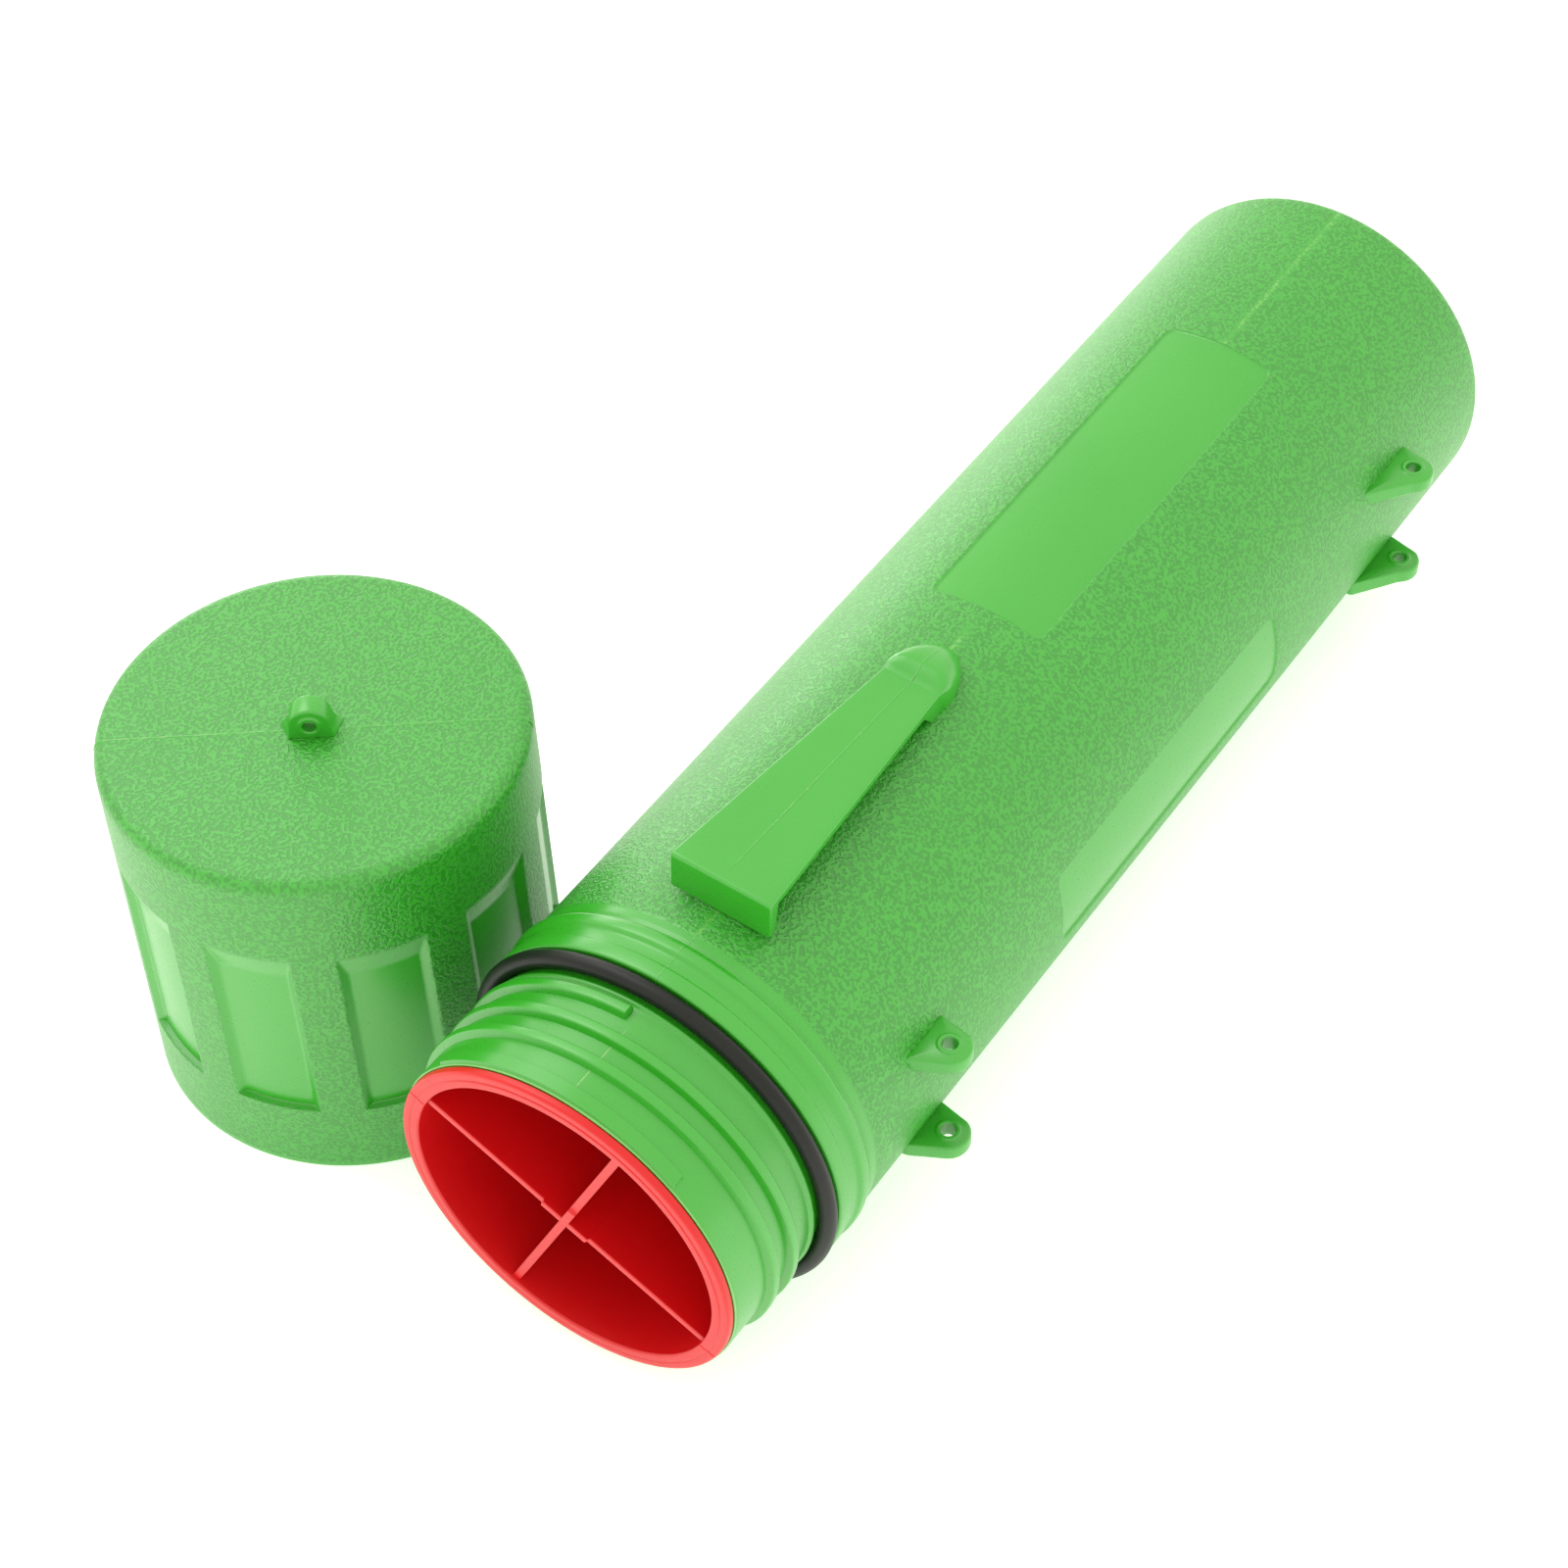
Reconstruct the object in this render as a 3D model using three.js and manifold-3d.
// A screw-top storage tube for rolled drawings, lying on its side, with its cap stood beside it.
//
// The tube is a hollow moulding with a threaded neck, a belt clip and four strap ears. A rubber ring
// sits in a groove behind the thread, and a red insert divides the mouth into four. The tall fluted
// cap carries a small eyelet and stands on its rim.
//
// Millimetres, +Z up. The tube's axis runs along Y, from its mouth to its closed end. The ears point
// towards +X and the cap stands on the -X side. The origin is on the ground, under the middle of the
// bounding box. Angles round the tube are degrees from the top, towards the ears.

import * as THREE from 'three';
import { mergeVertices } from 'three/addons/utils/BufferGeometryUtils.js';
import Module from 'manifold-3d';

const wasm = await Module();
wasm.setup();

// ---------------------------------------------------------------------------------- driving sizes

const TUBE_SIDES = 48;
const CAP_SIDES = 50;
const RING_SIDES = 8;
const TOUCH_GAP = 0.3;             // what pieces that touch keep between them

// Tube barrel
const BODY_RADIUS = 52;
const TUBE_LENGTH = 374.6;         // mouth to closed end
const BODY_WALL = 2.5;
const END_ROUND = 6;
const BASE_RECESS_RADIUS = 40;
const BASE_RECESS_DEPTH = 1.5;

// Threaded neck
const NECK_STEP = 3.7;             // how much smaller the neck is than the barrel
const NECK_WALL = 3.5;
const NECK_LENGTH = 36.8;          // mouth to the shoulder's face
const LIP_ROUND = 0.8;
const THREAD_PITCH = 8;
const THREAD_HEIGHT = 1.9;
const THREAD_ROOT_WIDTH = 4;
const THREAD_CREST_WIDTH = 2.6;
const THREAD_TURNS = 2.35;
const THREAD_END = 28;             // mouth to the middle of the ridge where it stops
const THREAD_END_ANGLE = 2;
const THREAD_STEPS = 40;           // steps in one turn of a ridge
const LAND_HEIGHT = 0.7;           // the low rib between the thread and the ring's groove
const LAND_WIDTH = 0.8;
const RIDGE_SUNK = 0.5;            // how deep a thread ridge is rooted in its wall

// Shoulder: a round-edged collar, a flat band, a bead, and the step down to the barrel
const COLLAR_HEIGHT = 0.8;
const COLLAR_LENGTH = 4.3;
const COLLAR_ROUND = 0.6;
const BAND_HEIGHT = 0.4;
const BAND_LENGTH = 3.6;
const BEAD_HEIGHT = 1.3;
const BEAD_LENGTH = 4.6;
const BEAD_CROWN = 2.6;
const SHADOW_DEPTH = 0.3;
const SHADOW_LENGTH = 1;
const SHOULDER_SLOPE = 9;          // length over which the bore widens behind the neck

// Rubber ring
const RING_SECTION = 4.6;
const RING_FRONT_GAP = 0.4;        // between the land and the ring

// Label panel on top, and the smooth panel on the ear side
const LABEL_START = 181;
const LABEL_TO_END = 70.6;
const LABEL_WIDTH = 33.6;
const LABEL_ANGLE = 2.3;
const SIDE_PANEL_START = 140;
const SIDE_PANEL_TO_END = 124.6;
const SIDE_PANEL_WIDTH = 24;
const SIDE_PANEL_ANGLE = 85;
const PANEL_DEPTH = 0.5;
const PANEL_ROUND = 4;

// Belt clip
const CLIP_ANGLE = 3.4;
const CLIP_START = 61.9;
const CLIP_BLADE_LENGTH = 82;
const CLIP_DOME_LENGTH = 19;
const CLIP_TIP_WIDTH = 28.4;
const CLIP_ROOT_WIDTH = 16.4;
const CLIP_TIP_RISE = 12;          // blade's top above the barrel at its free end
const CLIP_ROOT_RISE = 6.5;
const CLIP_THICKNESS = 2.6;
const CLIP_LIP_THICKNESS = 2.8;
const CLIP_LIP_GAP = 0.5;          // under the lip's straight lower edge, at the crown of the barrel
const CLIP_EDGE_ROUND = 1;
const CLIP_SOLID_LENGTH = 8;       // the blade's last stretch, solid down to the barrel
const CLIP_SOLID_RAMP = 6;         // length over which the solid stretch slopes up to the blade

// Strap ears, in two pairs: each ear is a flat plate with a round tip about its hole
const EAR_REACH = 3.2;             // hole's centre beyond the barrel's side
const EAR_TIP_RADIUS = 5.8;
const EAR_HOLE_RADIUS = 2;
const EAR_TAPER_LENGTH = 6.4;      // from the foot's square shoulders out to the hole
const EAR_THICKNESS = 4.5;
const EAR_SPREAD = 34.3;           // between the middles of the two plates of a pair
const EAR_DROP = 1.6;              // middle of a pair below the tube's axis
const NEAR_EAR_HOLE = 80.6;        // mouth to hole
const NEAR_EAR_FRONT = 9.6;        // foot's reach on the mouth side of the hole
const NEAR_EAR_BACK = 6.9;
const FAR_EAR_TO_END = 52.8;       // hole to closed end
const FAR_EAR_FRONT = 17.3;
const FAR_EAR_BACK = 7.2;

// Four-way divider
const DIVIDER_TURN = 25.7;
const DIVIDER_DEPTH = 110;         // mouth to the vanes' inner ends
const SLEEVE_DEPTH = 60;
const SLEEVE_WALL = 1.7;
const FLANGE_SETBACK = 0.4;        // flange's edge inside the neck's outer radius
const FLANGE_THICKNESS = 2.2;
const FLANGE_ROUND = 0.8;
const FLANGE_LIP_CHAMFER = 0.6;    // at the flange's inner edge
const FLANGE_GROOVE = 0.5;
const FLANGE_GROOVE_INSET = 2.9;   // flange's edge to the fine groove in its face
const VANE_THICKNESS = 2.4;
const VANE_SETBACK = 1.4;          // vanes' front edges behind the flange's face

// Cap
const CAP_HEIGHT = 109.4;
const CAP_WALL = 3.4;
const CAP_DRAFT = 1;               // how much wider the rim is than the top
const CAP_TOP_ROUND = 4.5;
const CAP_CEILING_CHAMFER = 2.2;
const CAP_RIM_ROUND = 0.6;
const CAP_LEAD_IN = 1.6;
const CAP_LEAD_IN_HEIGHT = 2.4;
const THREAD_CLEARANCE = 0.6;
const CAP_THREAD_START = 6;
const CAP_THREAD_TURNS = 1.75;
const CAP_THREAD_ROOT_WIDTH = 3;
const CAP_THREAD_CREST_WIDTH = 1.8;
const FLUTE_COUNT = 10;
const FLUTE_DEPTH = 1.9;
const FLUTE_FLOOR_WIDTH = 18.4;
const FLUTE_MOUTH_WIDTH = 23.8;
const FLUTE_BOTTOM = 23.2;
const FLUTE_TOP_TO_TOP = 26.4;     // flute's upper end to the cap's top
const FLUTE_RAMP = 8;
const CAP_SIDE_GAP = 6.9;          // between the standing cap and the barrel
const CAP_ALONG = 54.8;            // cap's centre from the mouth, along the tube

// Eyelet on the cap: a round head about its hole, flaring out to a wider foot
const EYELET_ANGLE = 37;           // its flat's direction, from +X towards +Y
const EYELET_SETBACK = 2.4;        // how far its middle stands off the cap's, towards the mouth
const EYELET_FOOT_WIDTH = 16.6;
const EYELET_HEIGHT = 9;
const EYELET_THICKNESS = 6.1;
const EYELET_HOLE_RADIUS = 1.75;
const EYELET_HOLE_HEIGHT = 3.8;

// ---------------------------------------------------------------------------------- derived sizes

const neckRadius = BODY_RADIUS - NECK_STEP;
const neckBore = neckRadius - NECK_WALL;
const threadCrest = neckRadius + THREAD_HEIGHT;
const beadRadius = BODY_RADIUS + BEAD_HEIGHT;
const barrelBore = BODY_RADIUS - BODY_WALL;
const footRadius = neckBore;       // where the feet of what stands on the barrel start, inside it
const landEnd = NECK_LENGTH - RING_SECTION - RING_FRONT_GAP - TOUCH_GAP;
const ringRadius = neckRadius + TOUCH_GAP + RING_SECTION / 2;
const axisHeight = Math.max(beadRadius, ringRadius + RING_SECTION / 2);
const capBore = threadCrest + THREAD_CLEARANCE;
const capTopRadius = capBore + CAP_WALL;
const capRimRadius = capTopRadius + CAP_DRAFT;
const sleeveRadius = neckBore - TOUCH_GAP;
const sleeveBore = sleeveRadius - SLEEVE_WALL;
const flangeRadius = neckRadius - FLANGE_SETBACK;
const flangeBack = -TOUCH_GAP;
const flangeFront = flangeBack - FLANGE_THICKNESS;

// ---------------------------------------------------------------------------------- shape helpers

const turnOf = (degrees) => THREE.MathUtils.degToRad(degrees);
const point = (x, y) => new THREE.Vector2(x, y);

// A closed three.js geometry as a manifold solid: shared corners merged, collapsed faces dropped.
function solid(geometry) {
  const bare = geometry.clone();
  bare.deleteAttribute('normal');
  bare.deleteAttribute('uv');
  const merged = mergeVertices(bare, 1e-4);
  const corners = [];
  for (let i = 0; i < merged.index.count; i += 3) {
    const [a, b, c] = merged.index.array.slice(i, i + 3);
    if (a !== b && b !== c && c !== a) corners.push(a, b, c);
  }
  return new wasm.Manifold(new wasm.Mesh({
    numProp: 3,
    vertProperties: merged.attributes.position.array,
    triVerts: new Uint32Array(corners),
  }));
}

// A manifold solid as a three.js geometry.
function geometryOf(body) {
  const mesh = body.getMesh();
  const geometry = new THREE.BufferGeometry();
  geometry.setAttribute('position', new THREE.BufferAttribute(mesh.vertProperties, 3));
  geometry.setIndex(new THREE.BufferAttribute(mesh.triVerts, 1));
  return geometry;
}

// Turns a profile of (radius, height) points about the Y axis. It runs outwards first, then up.
const revolve = (points, sides) => solid(new THREE.LatheGeometry(points, sides));

const disc = (radius, low, high, sides) =>
  revolve([point(0, low), point(radius, low), point(radius, high), point(0, high)], sides);

// Points on an arc about a centre, between two angles in degrees.
function arc(centreX, centreY, radius, from, to, steps) {
  return Array.from({ length: steps + 1 }, (_, i) => {
    const angle = turnOf(from + ((to - from) * i) / steps);
    return point(centreX + radius * Math.cos(angle), centreY + radius * Math.sin(angle));
  });
}

const extrude = (shape, depth, curveSegments = 6) =>
  new THREE.ExtrudeGeometry(shape, { depth, bevelEnabled: false, curveSegments });

// Winds a section of (radius, height) points round the Y axis, from an angle backwards through a
// number of turns, dropping by the pitch each turn: a ridge of thread, or a ring sector at pitch 0.
function wind(section, { endAngle, turns, pitch = 0, steps }) {
  const geometry = new THREE.ExtrudeGeometry(new THREE.Shape(section), {
    depth: 1, steps, bevelEnabled: false,
  });
  const position = geometry.attributes.position;
  for (let i = 0; i < position.count; i += 1) {
    const turn = position.getZ(i) * turns;
    const angle = turnOf(endAngle) - turn * 2 * Math.PI;
    const radius = position.getX(i);
    const height = position.getY(i) - pitch * turn;
    position.setXYZ(i, radius * Math.sin(angle), height, radius * Math.cos(angle));
  }
  return solid(geometry);
}

// A rounded rectangle about its own middle.
function roundedRectangle(width, height, radius) {
  const x = width / 2 - radius;
  const y = height / 2 - radius;
  const shape = new THREE.Shape();
  shape.absarc(x, y, radius, 0, Math.PI / 2);
  shape.absarc(-x, y, radius, Math.PI / 2, Math.PI);
  shape.absarc(-x, -y, radius, Math.PI, 1.5 * Math.PI);
  shape.absarc(x, -y, radius, 1.5 * Math.PI, 2 * Math.PI);
  return shape;
}

// The section of a thread ridge: a trapezium from inside the wall out to its crest.
function ridge(wallRadius, crestRadius, height, rootWidth, crestWidth) {
  const root = wallRadius - Math.sign(crestRadius - wallRadius) * RIDGE_SUNK;
  return [
    point(root, height - rootWidth / 2),
    point(crestRadius, height - crestWidth / 2),
    point(crestRadius, height + crestWidth / 2),
    point(root, height + rootWidth / 2),
  ];
}

// ---------------------------------------------------------------------------------- tube

function tubeOutside() {
  const collarEnd = NECK_LENGTH + COLLAR_LENGTH;
  const bandEnd = collarEnd + BAND_LENGTH;
  const beadEnd = bandEnd + BEAD_LENGTH;
  const beadEdge = (BEAD_LENGTH - BEAD_CROWN) / 2;
  const collar = BODY_RADIUS + COLLAR_HEIGHT;
  const band = BODY_RADIUS + BAND_HEIGHT;
  const shadow = BODY_RADIUS - SHADOW_DEPTH;
  return revolve([
    point(0, 0),
    point(neckRadius - LIP_ROUND, 0),
    point(neckRadius, LIP_ROUND),
    point(neckRadius, landEnd - LAND_WIDTH - LAND_HEIGHT),
    point(neckRadius + LAND_HEIGHT, landEnd - LAND_WIDTH),
    point(neckRadius + LAND_HEIGHT, landEnd),
    point(neckRadius, landEnd),
    point(neckRadius, NECK_LENGTH),
    point(collar - COLLAR_ROUND, NECK_LENGTH),
    point(collar, NECK_LENGTH + COLLAR_ROUND),
    point(collar, collarEnd - COLLAR_ROUND),
    point(band, collarEnd),
    point(band, bandEnd),
    point(beadRadius, bandEnd + beadEdge),
    point(beadRadius, beadEnd - beadEdge),
    point(shadow, beadEnd),
    point(shadow, beadEnd + SHADOW_LENGTH / 2),
    point(BODY_RADIUS, beadEnd + SHADOW_LENGTH),
    ...arc(BODY_RADIUS - END_ROUND, TUBE_LENGTH - END_ROUND, END_ROUND, 0, 90, 4),
    point(BASE_RECESS_RADIUS + BASE_RECESS_DEPTH, TUBE_LENGTH),
    point(BASE_RECESS_RADIUS, TUBE_LENGTH - BASE_RECESS_DEPTH),
    point(0, TUBE_LENGTH - BASE_RECESS_DEPTH),
  ], TUBE_SIDES);
}

function tubeInside() {
  const end = TUBE_LENGTH - BASE_RECESS_DEPTH - BODY_WALL;
  return revolve([
    point(0, -1),
    point(neckBore, -1),
    point(neckBore, NECK_LENGTH),
    point(barrelBore, NECK_LENGTH + SHOULDER_SLOPE),
    ...arc(barrelBore - END_ROUND, end - END_ROUND, END_ROUND, 0, 90, 3),
    point(0, end),
  ], TUBE_SIDES);
}

// What a shallow panel takes from the barrel: a rounded rectangle above the panel's floor.
function panelCut(start, end, width, angle) {
  const outline = extrude(roundedRectangle(width, end - start, PANEL_ROUND), 2 * BODY_RADIUS, 3);
  outline.translate(0, (start + end) / 2, 0).rotateY(turnOf(angle));
  return solid(outline).subtract(disc(BODY_RADIUS - PANEL_DEPTH, 0, TUBE_LENGTH, TUBE_SIDES));
}

function tubeBody() {
  const thread = wind(
    ridge(neckRadius, threadCrest, THREAD_END, THREAD_ROOT_WIDTH, THREAD_CREST_WIDTH),
    {
      endAngle: THREAD_END_ANGLE,
      turns: THREAD_TURNS,
      pitch: THREAD_PITCH,
      steps: Math.round(THREAD_TURNS * THREAD_STEPS),
    },
  );
  const label = panelCut(LABEL_START, TUBE_LENGTH - LABEL_TO_END, LABEL_WIDTH, LABEL_ANGLE);
  const sideEnd = TUBE_LENGTH - SIDE_PANEL_TO_END;
  const sidePanel = panelCut(SIDE_PANEL_START, sideEnd, SIDE_PANEL_WIDTH, SIDE_PANEL_ANGLE);
  return tubeOutside().add(thread).subtract(label).subtract(sidePanel).subtract(tubeInside());
}

function rubberRing() {
  const middle = NECK_LENGTH - TOUCH_GAP - RING_SECTION / 2;
  return revolve(arc(ringRadius, middle, RING_SECTION / 2, 0, 360, RING_SIDES), TUBE_SIDES);
}

// The room that the barrel takes from what stands on it.
const aroundBarrel = () => disc(BODY_RADIUS + TOUCH_GAP, 0, TUBE_LENGTH, TUBE_SIDES);

// ---------------------------------------------------------------------------------- belt clip

// Heights here are above the tube's axis, and the blade slopes down from its free end to its root.
// The root and the dome start inside the barrel, and beltClip cuts them back to its surface.
function clipSideView() {
  const tip = BODY_RADIUS + CLIP_TIP_RISE;
  const drop = CLIP_TIP_RISE - CLIP_ROOT_RISE;
  const lipFoot = BODY_RADIUS + CLIP_LIP_GAP;
  const bladeEnd = CLIP_START + CLIP_BLADE_LENGTH;
  const domeEnd = bladeEnd + CLIP_DOME_LENGTH;
  const bladeTop = (along) => tip - (drop * (along - CLIP_START)) / CLIP_BLADE_LENGTH;
  const lipInside = CLIP_START + CLIP_LIP_THICKNESS;
  const solidStart = bladeEnd - CLIP_SOLID_LENGTH;
  return new THREE.Shape([
    point(CLIP_START, lipFoot),
    point(lipInside, lipFoot),
    point(lipInside, bladeTop(lipInside) - CLIP_THICKNESS),
    point(solidStart, bladeTop(solidStart) - CLIP_THICKNESS),
    point(solidStart + CLIP_SOLID_RAMP, footRadius),
    point(domeEnd, footRadius),
    ...new THREE.EllipseCurve(
      bladeEnd, BODY_RADIUS, CLIP_DOME_LENGTH, CLIP_ROOT_RISE, 0, Math.PI / 2,
    ).getPoints(5),
    point(CLIP_START + CLIP_EDGE_ROUND, bladeTop(CLIP_START + CLIP_EDGE_ROUND)),
    point(CLIP_START, tip - CLIP_EDGE_ROUND),
  ]);
}

function clipPlanView() {
  const bladeEnd = CLIP_START + CLIP_BLADE_LENGTH;
  const shape = new THREE.Shape();
  shape.moveTo(-CLIP_TIP_WIDTH / 2, CLIP_START);
  shape.lineTo(CLIP_TIP_WIDTH / 2, CLIP_START);
  shape.lineTo(CLIP_ROOT_WIDTH / 2, bladeEnd);
  shape.absellipse(0, bladeEnd, CLIP_ROOT_WIDTH / 2, CLIP_DOME_LENGTH, 0, Math.PI);
  return shape;
}

function beltClip() {
  const acrossTube = new THREE.Matrix4().makeBasis(
    new THREE.Vector3(0, 1, 0), new THREE.Vector3(0, 0, 1), new THREE.Vector3(1, 0, 0),
  );
  const side = extrude(clipSideView(), CLIP_TIP_WIDTH).applyMatrix4(acrossTube)
    .translate(-CLIP_TIP_WIDTH / 2, 0, 0);
  const plan = extrude(clipPlanView(), 2 * BODY_RADIUS, 8);
  return solid(side).intersect(solid(plan)).subtract(aroundBarrel());
}

// ---------------------------------------------------------------------------------- strap ears

// Where the line from a point touches a circle about the origin, on its front (-1) or back (+1) side.
function tangentPoint(from, radius, side) {
  const distance = from.length();
  const angle = Math.atan2(from.y, from.x) - side * Math.acos(radius / distance);
  return point(radius * Math.cos(angle), radius * Math.sin(angle));
}

// An ear seen from above, about its hole: a foot inside the barrel, tapering to the round tip.
function earOutline(front, back) {
  const foot = footRadius - BODY_RADIUS - EAR_REACH;
  const touchFront = tangentPoint(point(-EAR_TAPER_LENGTH, -front), EAR_TIP_RADIUS, -1);
  const touchBack = tangentPoint(point(-EAR_TAPER_LENGTH, back), EAR_TIP_RADIUS, 1);
  const shape = new THREE.Shape();
  shape.moveTo(foot, back);
  shape.lineTo(foot, -front);
  shape.lineTo(-EAR_TAPER_LENGTH, -front);
  shape.absarc(
    0, 0, EAR_TIP_RADIUS,
    Math.atan2(touchFront.y, touchFront.x), Math.atan2(touchBack.y, touchBack.x), false,
  );
  shape.lineTo(-EAR_TAPER_LENGTH, back);
  shape.holes.push(new THREE.Path().absarc(0, 0, EAR_HOLE_RADIUS, 0, 2 * Math.PI, true));
  return shape;
}

function strapEar(along, front, back, height) {
  const plate = extrude(earOutline(front, back), EAR_THICKNESS)
    .translate(BODY_RADIUS + EAR_REACH, along, height - EAR_THICKNESS / 2);
  return solid(plate).subtract(aroundBarrel());
}

// ---------------------------------------------------------------------------------- divider

function dividerCollar() {
  const grooveRadius = flangeRadius - FLANGE_GROOVE_INSET;
  return revolve([
    point(sleeveBore, flangeFront + FLANGE_LIP_CHAMFER),
    point(sleeveBore + FLANGE_LIP_CHAMFER, flangeFront),
    point(grooveRadius - FLANGE_GROOVE, flangeFront),
    point(grooveRadius, flangeFront + FLANGE_GROOVE),
    point(grooveRadius + FLANGE_GROOVE, flangeFront),
    point(flangeRadius - FLANGE_ROUND, flangeFront),
    point(flangeRadius, flangeFront + FLANGE_ROUND),
    point(flangeRadius, flangeBack),
    point(sleeveRadius, flangeBack),
    point(sleeveRadius, SLEEVE_DEPTH),
    point(sleeveBore, SLEEVE_DEPTH),
    point(sleeveBore, flangeFront + FLANGE_LIP_CHAMFER),
  ], TUBE_SIDES);
}

// A vane between two distances from the axis, on one side of it or right across.
function vane(from, to) {
  const front = flangeFront + VANE_SETBACK;
  const length = DIVIDER_DEPTH - front;
  return new THREE.BoxGeometry(to - from, length, VANE_THICKNESS)
    .translate((from + to) / 2, front + length / 2, 0);
}

// ---------------------------------------------------------------------------------- cap

const capRadiusAt = (height) => capRimRadius - (CAP_DRAFT * height) / CAP_HEIGHT;

function flute() {
  const top = CAP_HEIGHT - FLUTE_TOP_TO_TOP;
  const rampStart = top - FLUTE_RAMP;
  const outside = capRimRadius + FLUTE_DEPTH;
  const floorAt = (height) => capRadiusAt(height) - FLUTE_DEPTH;
  const middle = (FLUTE_BOTTOM + rampStart) / 2;
  const flare = (FLUTE_MOUTH_WIDTH - FLUTE_FLOOR_WIDTH) / 2 / FLUTE_DEPTH;
  const halfWidthAt = (radius) => FLUTE_FLOOR_WIDTH / 2 + flare * (radius - floorAt(middle));
  const inner = floorAt(middle) - FLUTE_DEPTH;
  const reach = Math.atan2(halfWidthAt(outside), inner) / Math.PI;

  const sideView = wind([
    point(floorAt(FLUTE_BOTTOM), FLUTE_BOTTOM),
    point(outside, FLUTE_BOTTOM),
    point(outside, top),
    point(capRadiusAt(top), top),
    point(floorAt(rampStart), rampStart),
  ], { endAngle: (360 * reach) / 2, turns: reach, steps: 6 });
  const topView = new THREE.Shape([
    point(-halfWidthAt(inner), inner),
    point(halfWidthAt(inner), inner),
    point(halfWidthAt(outside), outside),
    point(-halfWidthAt(outside), outside),
  ]);
  const downwards = new THREE.Matrix4().makeBasis(
    new THREE.Vector3(1, 0, 0), new THREE.Vector3(0, 0, 1), new THREE.Vector3(0, -1, 0),
  );
  return sideView.intersect(solid(extrude(topView, CAP_HEIGHT).applyMatrix4(downwards)
    .translate(0, CAP_HEIGHT, 0)));
}

// The cap is made about the Y axis, rim at 0 and top upwards, and stood up when it is placed.
function capShell() {
  const ceiling = CAP_HEIGHT - CAP_WALL;
  const outside = revolve([
    point(0, 0),
    point(capRimRadius - CAP_RIM_ROUND, 0),
    point(capRimRadius, CAP_RIM_ROUND),
    ...arc(capTopRadius - CAP_TOP_ROUND, CAP_HEIGHT - CAP_TOP_ROUND, CAP_TOP_ROUND, 0, 90, 4),
    point(0, CAP_HEIGHT),
  ], CAP_SIDES);
  const inside = revolve([
    point(0, -1),
    point(capBore + CAP_LEAD_IN, -1),
    point(capBore + CAP_LEAD_IN, 0),
    point(capBore, CAP_LEAD_IN_HEIGHT),
    point(capBore, ceiling - CAP_CEILING_CHAMFER),
    point(capBore - CAP_CEILING_CHAMFER, ceiling),
    point(0, ceiling),
  ], CAP_SIDES);
  const threadEnd = CAP_THREAD_START + CAP_THREAD_TURNS * THREAD_PITCH;
  const crest = neckRadius + THREAD_CLEARANCE;
  const thread = wind(
    ridge(capBore, crest, threadEnd, CAP_THREAD_ROOT_WIDTH, CAP_THREAD_CREST_WIDTH),
    {
      endAngle: 0,
      turns: CAP_THREAD_TURNS,
      pitch: THREAD_PITCH,
      steps: Math.round(CAP_THREAD_TURNS * THREAD_STEPS),
    },
  );
  let shell = outside.subtract(inside).add(thread);
  const cut = flute();
  for (let i = 0; i < FLUTE_COUNT; i += 1) {
    shell = shell.subtract(cut.rotate([0, (360 * (i + 0.5)) / FLUTE_COUNT, 0]));
  }
  return shell;
}

function eyelet() {
  const foot = EYELET_FOOT_WIDTH / 2;
  const head = EYELET_HEIGHT - EYELET_HOLE_HEIGHT;
  const shape = new THREE.Shape();
  shape.moveTo(-foot, 0);
  shape.lineTo(foot, 0);
  shape.quadraticCurveTo(head, 0, head, EYELET_HOLE_HEIGHT);
  shape.absarc(0, EYELET_HOLE_HEIGHT, head, 0, Math.PI);
  shape.quadraticCurveTo(-head, 0, -foot, 0);
  const hole = new THREE.Path();
  shape.holes.push(hole.absarc(0, EYELET_HOLE_HEIGHT, EYELET_HOLE_RADIUS, 0, 2 * Math.PI, true));
  return extrude(shape, EYELET_THICKNESS).rotateX(Math.PI / 2)
    .translate(0, EYELET_THICKNESS / 2 - EYELET_SETBACK, 0);
}

// ---------------------------------------------------------------------------------- assembly

const greenPlastic = new THREE.MeshStandardMaterial({ color: 0x4fc344, roughness: 0.5, metalness: 0 });
const redPlastic = new THREE.MeshStandardMaterial({ color: 0xd8141c, roughness: 0.4, metalness: 0 });
const blackRubber = new THREE.MeshStandardMaterial({ color: 0x2b2d2e, roughness: 0.6, metalness: 0 });

function named(name, geometry, material) {
  const mesh = new THREE.Mesh(geometry, material);
  mesh.name = name;
  return mesh;
}

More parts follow.
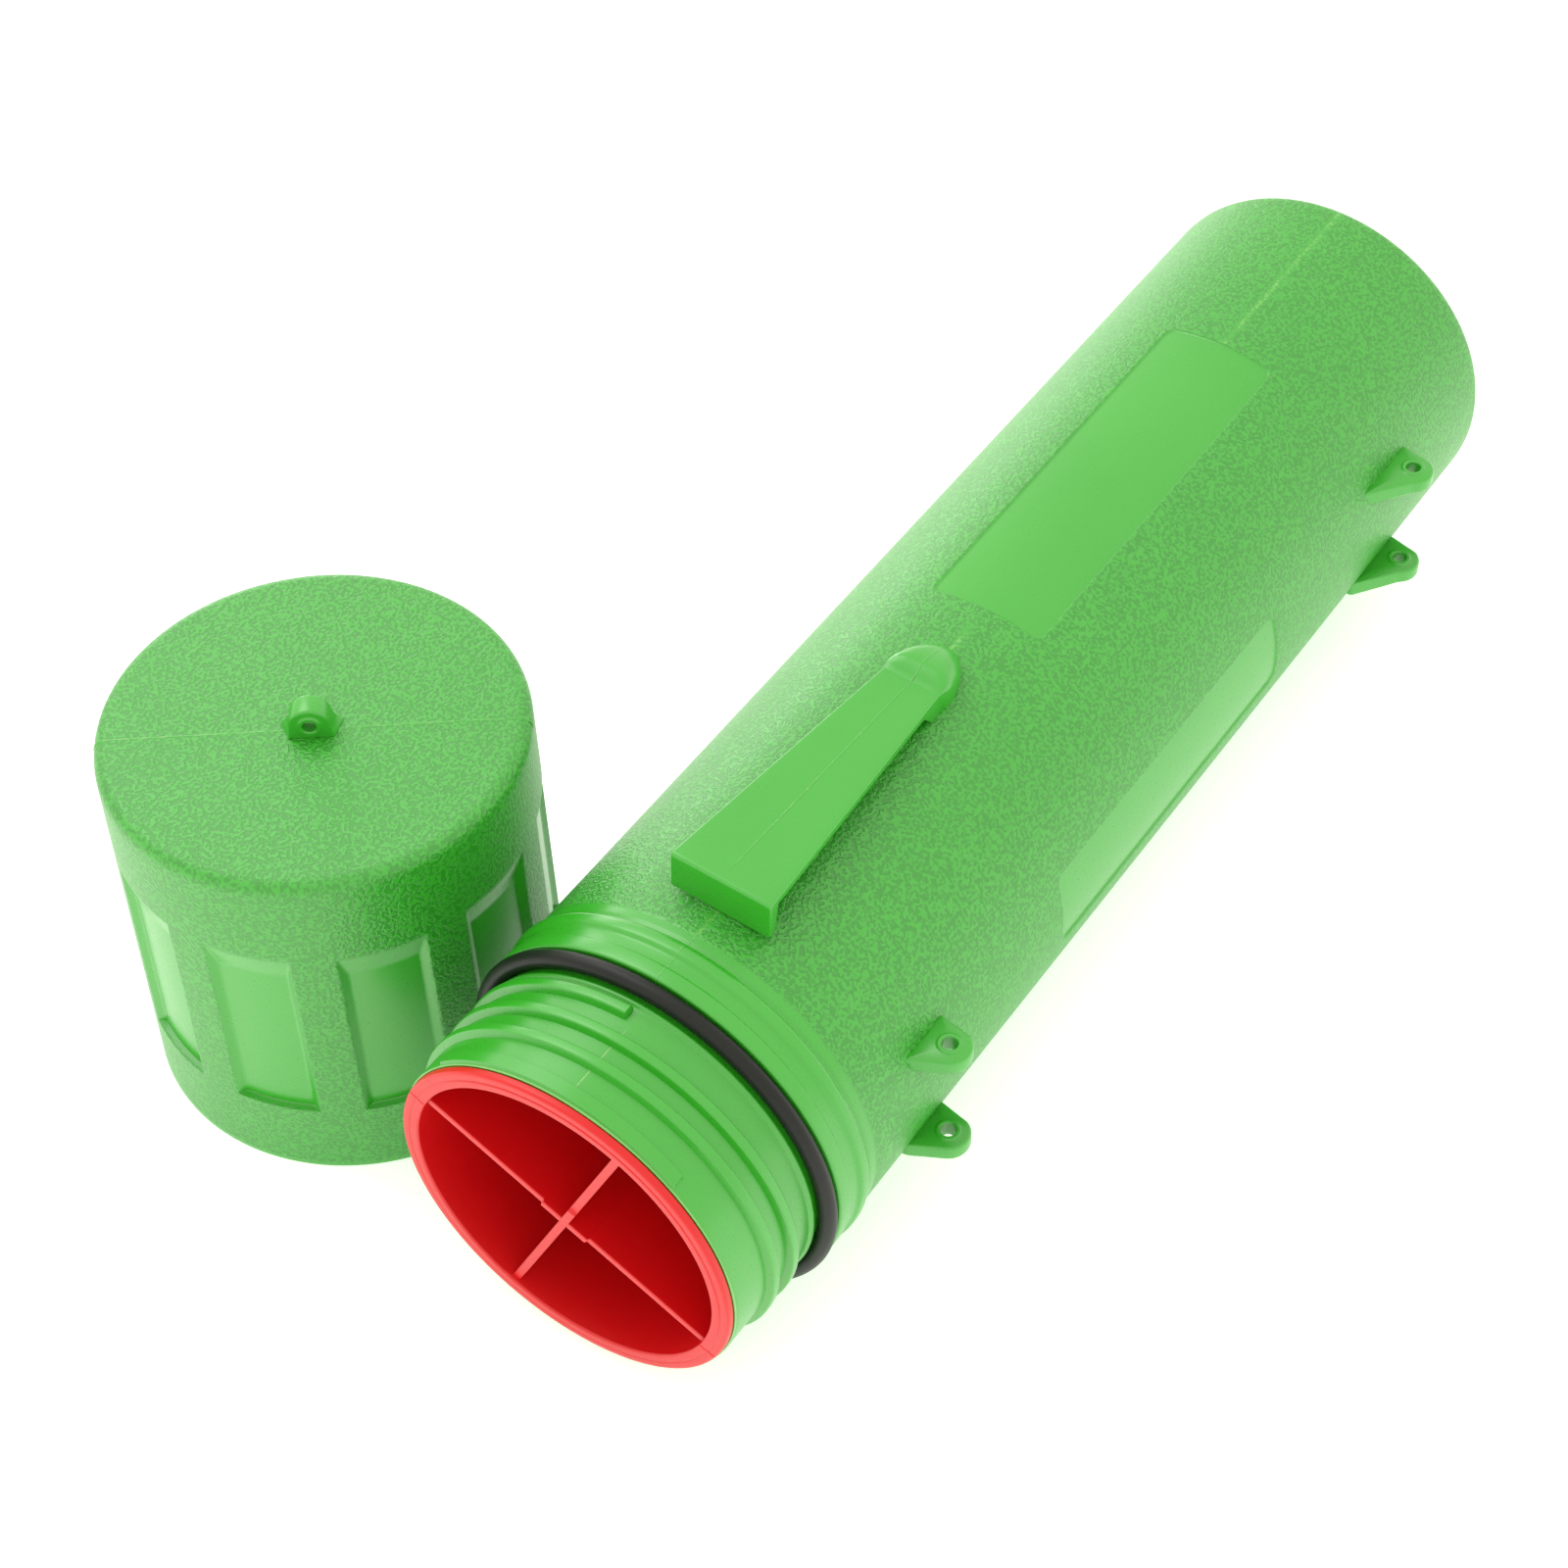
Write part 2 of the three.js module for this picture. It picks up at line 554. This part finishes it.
function makeTube() {
  const tube = new THREE.Group();
  tube.add(named('tube_body', geometryOf(tubeBody()), greenPlastic));
  tube.add(named('o_ring', geometryOf(rubberRing()), blackRubber));

  const clip = named('belt_clip', geometryOf(beltClip()), greenPlastic);
  clip.rotation.y = turnOf(CLIP_ANGLE);
  tube.add(clip);

  const levels = { upper: EAR_SPREAD / 2 - EAR_DROP, lower: -EAR_SPREAD / 2 - EAR_DROP };
  for (const [level, height] of Object.entries(levels)) {
    const near = strapEar(NEAR_EAR_HOLE, NEAR_EAR_FRONT, NEAR_EAR_BACK, height);
    const far = strapEar(TUBE_LENGTH - FAR_EAR_TO_END, FAR_EAR_FRONT, FAR_EAR_BACK, height);
    tube.add(named(`strap_ear_near_${level}`, geometryOf(near), greenPlastic));
    tube.add(named(`strap_ear_far_${level}`, geometryOf(far), greenPlastic));
  }
  return tube;
}

function makeDivider() {
  const divider = new THREE.Group();
  const vaneEnd = sleeveBore - TOUCH_GAP;
  const besideVane = VANE_THICKNESS / 2 + TOUCH_GAP;
  divider.add(named('divider_collar', geometryOf(dividerCollar()), redPlastic));
  divider.add(named('divider_vane_main', vane(-vaneEnd, vaneEnd), redPlastic));
  divider.add(named('divider_vane_upper', vane(besideVane, vaneEnd).rotateY(-Math.PI / 2), redPlastic));
  divider.add(named('divider_vane_lower', vane(besideVane, vaneEnd).rotateY(Math.PI / 2), redPlastic));
  divider.rotation.y = turnOf(DIVIDER_TURN);
  return divider;
}

function makeCap() {
  const cap = new THREE.Group();
  const shell = named('cap_shell', geometryOf(capShell()), greenPlastic);
  shell.rotation.x = Math.PI / 2;
  cap.add(shell);

  const loop = named('cap_eyelet', eyelet(), greenPlastic);
  loop.rotation.z = turnOf(EYELET_ANGLE);
  loop.position.z = CAP_HEIGHT + TOUCH_GAP;
  cap.add(loop);
  return cap;
}

const storageTube = new THREE.Group();
const tubeSide = makeTube();
tubeSide.add(makeDivider());
tubeSide.position.z = axisHeight;
const capSide = makeCap();
capSide.position.set(-(BODY_RADIUS + CAP_SIDE_GAP + capRimRadius), CAP_ALONG, 0);
storageTube.add(tubeSide, capSide);

// The origin goes on the ground, under the middle of the whole.
const extent = new THREE.Box3().setFromObject(storageTube, true);
const middle = extent.getCenter(new THREE.Vector3());
storageTube.position.set(-middle.x, -middle.y, -extent.min.z);

export default storageTube;
